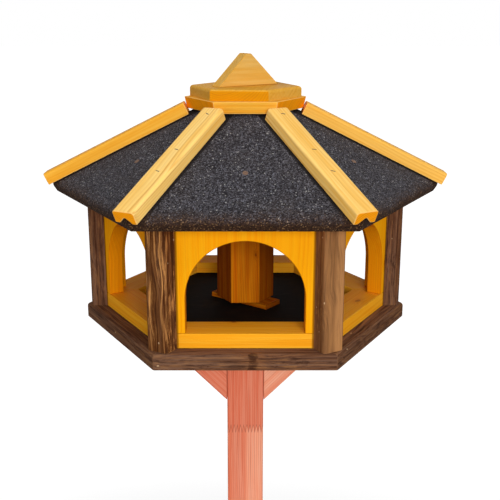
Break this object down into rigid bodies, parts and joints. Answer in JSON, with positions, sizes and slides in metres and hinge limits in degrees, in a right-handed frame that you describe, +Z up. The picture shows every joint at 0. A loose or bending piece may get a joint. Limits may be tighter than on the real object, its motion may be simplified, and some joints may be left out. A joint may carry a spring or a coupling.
{
  "type": "hexagonal garden bird feeder on a post",
  "caption": "Hexagonal wooden bird feeder with arched sides, a felted roof with hip battens, a seed silo under a lift-off lid, and a square post with struts on a cross foot.",
  "frame": {"origin": "middle of the cross foot, on the ground", "axes": "+Z up along the post, -Y out through the front wall, +X to the right seen from the front"},
  "size_m": [0.62, 0.62, 1.4486],
  "materials": {
    "dark_stained_pine": "walnut-brown stain, matt",
    "yellow_stained_pine": "yellow-orange stain, satin",
    "honey_stained_pine": "honey stain, satin",
    "roofing_felt": "mineral granules, matt",
    "film_faced_plywood": "black resin film, satin",
    "red_stained_pine": "reddish stain, matt"
  },
  "bodies": {
    "feeder_on_stand": {"base_beam_1": "dark_stained_pine", "base_beam_2": "dark_stained_pine", "base_beam_3": "dark_stained_pine", "base_beam_4": "dark_stained_pine", "base_beam_5": "dark_stained_pine", "base_beam_6": "dark_stained_pine", "floor_sheet": "film_faced_plywood", "floor_bearer": "dark_stained_pine", "sills": "honey_stained_pine", "wall_1": "yellow_stained_pine", "wall_2": "yellow_stained_pine", "wall_3": "yellow_stained_pine", "wall_4": "yellow_stained_pine", "wall_5": "yellow_stained_pine", "wall_6": "yellow_stained_pine", "corner_post_1": "dark_stained_pine", "corner_post_2": "dark_stained_pine", "corner_post_3": "dark_stained_pine", "corner_post_4": "dark_stained_pine", "corner_post_5": "dark_stained_pine", "corner_post_6": "dark_stained_pine", "roof_board_1": "yellow_stained_pine", "roof_board_2": "yellow_stained_pine", "roof_board_3": "yellow_stained_pine", "roof_board_4": "yellow_stained_pine", "roof_board_5": "yellow_stained_pine", "roof_board_6": "yellow_stained_pine", "roof_felt": "roofing_felt", "hip_batten_1": "honey_stained_pine", "hip_batten_2": "honey_stained_pine", "hip_batten_3": "honey_stained_pine", "hip_batten_4": "honey_stained_pine", "hip_batten_5": "honey_stained_pine", "hip_batten_6": "honey_stained_pine", "collar": "honey_stained_pine", "silo": "yellow_stained_pine", "silo_foot_batten": "yellow_stained_pine", "stand_post": "red_stained_pine", "strut_left": "red_stained_pine", "strut_right": "red_stained_pine", "foot_beam_long": "red_stained_pine", "foot_beam_cross": "red_stained_pine", "foot_struts": "red_stained_pine"},
    "lid": {"lid_plate": "honey_stained_pine", "lid_handle": "honey_stained_pine"}
  },
  "joints": [
    {"name": "lid_lift", "type": "slide", "parent": "feeder_on_stand", "child": "lid", "axis": [0, 0, 1], "range_m": [0, 0.12]}
  ]
}
